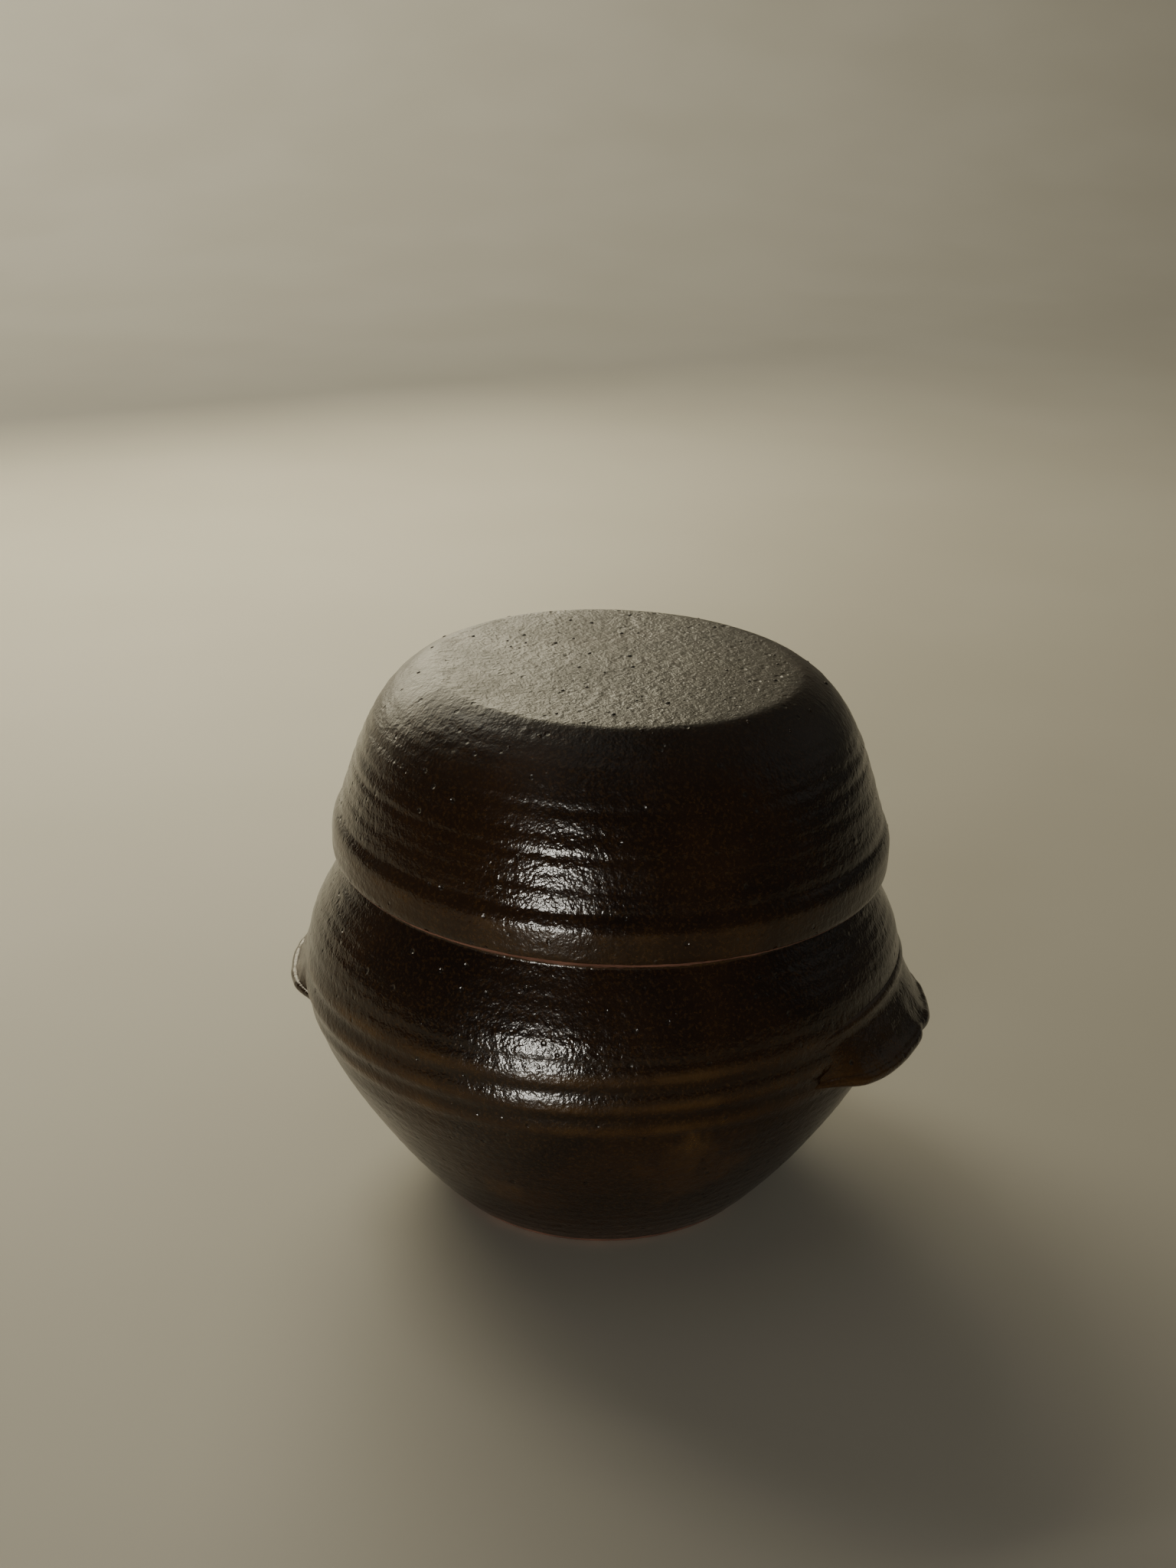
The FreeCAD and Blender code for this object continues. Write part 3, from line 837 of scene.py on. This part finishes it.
def camera():
    lens = bpy.data.cameras.new("camera")
    lens.lens = CAMERA_LENS
    lens.sensor_width = 36.0
    lens.clip_start = 0.01
    made = bpy.data.objects.new("camera", lens)
    bpy.context.scene.collection.objects.link(made)
    heading = Matrix.Rotation(VIEW_TURN - CAMERA_YAW, 3, "Z")
    nod = Matrix.Rotation(math.pi / 2 - CAMERA_PITCH, 3, "X")
    roll = Matrix.Rotation(CAMERA_ROLL, 3, "Z")
    made.matrix_world = Matrix.Translation(view_point(0, CAMERA_HEIGHT, CAMERA_DISTANCE)) @ (
        heading @ nod @ roll).to_4x4()
    bpy.context.scene.camera = made


def soft_light(name, place, aim, width, height, power, colour):
    data = bpy.data.lights.new(name, "AREA")
    data.shape = "RECTANGLE"
    data.size = width
    data.size_y = height
    data.energy = power
    data.color = colour
    made = bpy.data.objects.new(name, data)
    made.matrix_world = Matrix.Translation(place) @ (aim - place).to_track_quat("-Z", "Y").to_matrix().to_4x4()
    bpy.context.scene.collection.objects.link(made)


JAR_MIDDLE = Vector((0, 0, 0.08))
WALL_LEFT = view_point(-152, 0.3, 3.0)

# Soft lights: name, place, what it faces, width, height, watts and colour
SOFT_LIGHTS = (
    ("window", view_point(-22.5, 0.105, 0.95), JAR_MIDDLE, 0.18, 0.18, 4.2, (1.0, 0.97, 0.88)),
    ("left_back", view_point(-153, 0.44, 0.80), JAR_MIDDLE, 0.8, 0.5, 5.6, (1.0, 0.91, 0.66)),
    ("overhead", view_point(-60, 1.7, 0.5), JAR_MIDDLE, 1.2, 1.2, 1.2, (1.0, 0.95, 0.84)),
    ("backdrop_wash", view_point(-140, 1.9, 1.6), WALL_LEFT, 0.8, 0.8, 48.0, (1.0, 0.95, 0.78)),
    ("right_fill", view_point(110, 1.1, 1.7), JAR_MIDDLE, 1.8, 1.4, 0.8, (1.0, 0.96, 0.86)))


def studio():
    for light in SOFT_LIGHTS:
        soft_light(*light)
    world = bpy.data.worlds.new("studio")
    world.use_nodes = True
    back = world.node_tree.nodes["Background"]
    back.inputs["Color"].default_value = (0.92, 0.87, 0.76, 1)
    back.inputs["Strength"].default_value = 0.06
    bpy.context.scene.world = world


FLOOR_REACH = 3.0
FLOOR_SIDE = 4.0
SWEEP_FROM = 1.3
SWEEP_RADIUS = 1.7
WALL_TOP = 3.5


def backdrop():
    """A level floor that sweeps up into a wall behind the jar, seen from the camera."""
    sweep = [(-FLOOR_REACH, 0.0), (SWEEP_FROM, 0.0)]
    sweep += [(SWEEP_FROM + SWEEP_RADIUS * math.sin(step * math.pi / 32),
               SWEEP_RADIUS - SWEEP_RADIUS * math.cos(step * math.pi / 32)) for step in range(1, 17)]
    sweep += [(SWEEP_FROM + SWEEP_RADIUS, WALL_TOP)]
    away = Vector((-math.sin(VIEW_TURN), math.cos(VIEW_TURN), 0))
    across = Vector((math.cos(VIEW_TURN), math.sin(VIEW_TURN), 0))
    points = [away * depth + across * side + Vector((0, 0, height))
              for depth, height in sweep for side in (-FLOOR_SIDE, FLOOR_SIDE)]
    faces = [(2 * row, 2 * row + 1, 2 * row + 3, 2 * row + 2) for row in range(len(sweep) - 1)]
    mesh = bpy.data.meshes.new("backdrop")
    mesh.from_pydata(points, [], faces)
    mesh.polygons.foreach_set("use_smooth", [True] * len(faces))
    mesh.materials.append(pale_floor_material())
    made = bpy.data.objects.new("backdrop", mesh)
    bpy.context.scene.collection.objects.link(made)


# ---------------------------------------------------------------- building

camera()
studio()
backdrop()

glaze_skin = glaze_skin_group()
glaze_colour = glaze_colour_group()
bare_clay = bare_clay_group()
smear = smear_group()

# Where the jar's glaze ran thin, and where it pooled: middle, size and how much thinner it is
jar_smears = (
    (view_point(19, 0.034, 0.066), (0.015, 0.015, 0.016), 0.55),
    (view_point(-20, 0.022, 0.0586), (0.009, 0.009, 0.007), 0.40),
    (view_point(150, 0.030, 0.0635), (0.014, 0.014, 0.010), 0.45),
    (view_point(30, 0.018, 0.056), (0.008, 0.008, 0.013), -0.9),
    (view_point(-95, 0.040, 0.069), (0.010, 0.010, 0.018), -0.8))
jar_clay = glazed_stoneware("jar glaze", jar_smears)
ear_clay = glazed_stoneware("ear glaze")
lid_clay = glazed_stoneware("lid glaze", dry_top=(lid_high.z, LID_DISC * MM))

throwing = throwing_tree()
pimples = pimple_tree()

jar = thrown_piece("jar_wall", jar_outline(), 450, jar_clay, {
    "Wobble": 0.0006, "Seed": 1.0, "Lumps": 0.00016, "Aside": [step * MM for step in NECK_ASIDE]})
lid = thrown_piece("lid_bowl", lid_outline(), 520, lid_clay, {
    "Wobble": 0.0007, "Seed": 6.0, "Lumps": 0.00018, "Aside": [step * MM for step in LID_ASIDE]})
right_ear = ear_handle("right_ear", ear_clay, turn=0.0, seed=1.7, level=51.6,
                       notch=math.radians(3), ends=(math.radians(-29.5), math.radians(40)))
left_ear = ear_handle("left_ear", ear_clay, turn=math.pi, seed=4.2, level=50.4,
                      notch=math.radians(-9), ends=(math.radians(-36), math.radians(36)))
jar_grit = grown("jar_pimples", jar, pimples, {"Density": 1500.0, "Smallest": 0.0002, "Largest": 0.0005,
                                               "Lowest": 0.004, "Seed": 3, "Clay": jar_clay})
lid_grit = grown("lid_pimples", lid, pimples, {"Density": 1700.0, "Smallest": 0.0002, "Largest": 0.00042,
                                               "Lowest": 0.095, "Seed": 8, "Clay": lid_clay})
top_grit = grown("lid_top_grit", lid, pimples, {"Density": 6500.0, "Smallest": 0.00022, "Largest": 0.0006,
                                                "Lowest": 0.131, "Proud": 0.5, "Seed": 5, "Clay": lid_clay})

for piece, body, node, slot in (
        (jar, "jar", "jar_body", "jar_glaze"), (jar_grit, "jar", "jar_body", "jar_glaze"),
        (right_ear, "jar", "right_ear_handle", "ear_glaze"), (left_ear, "jar", "left_ear_handle", "ear_glaze"),
        (lid, "lid", "lid", "lid_glaze"), (lid_grit, "lid", "lid", "lid_glaze"),
        (top_grit, "lid", "lid", "lid_glaze")):
    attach(piece, body)
    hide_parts(node)
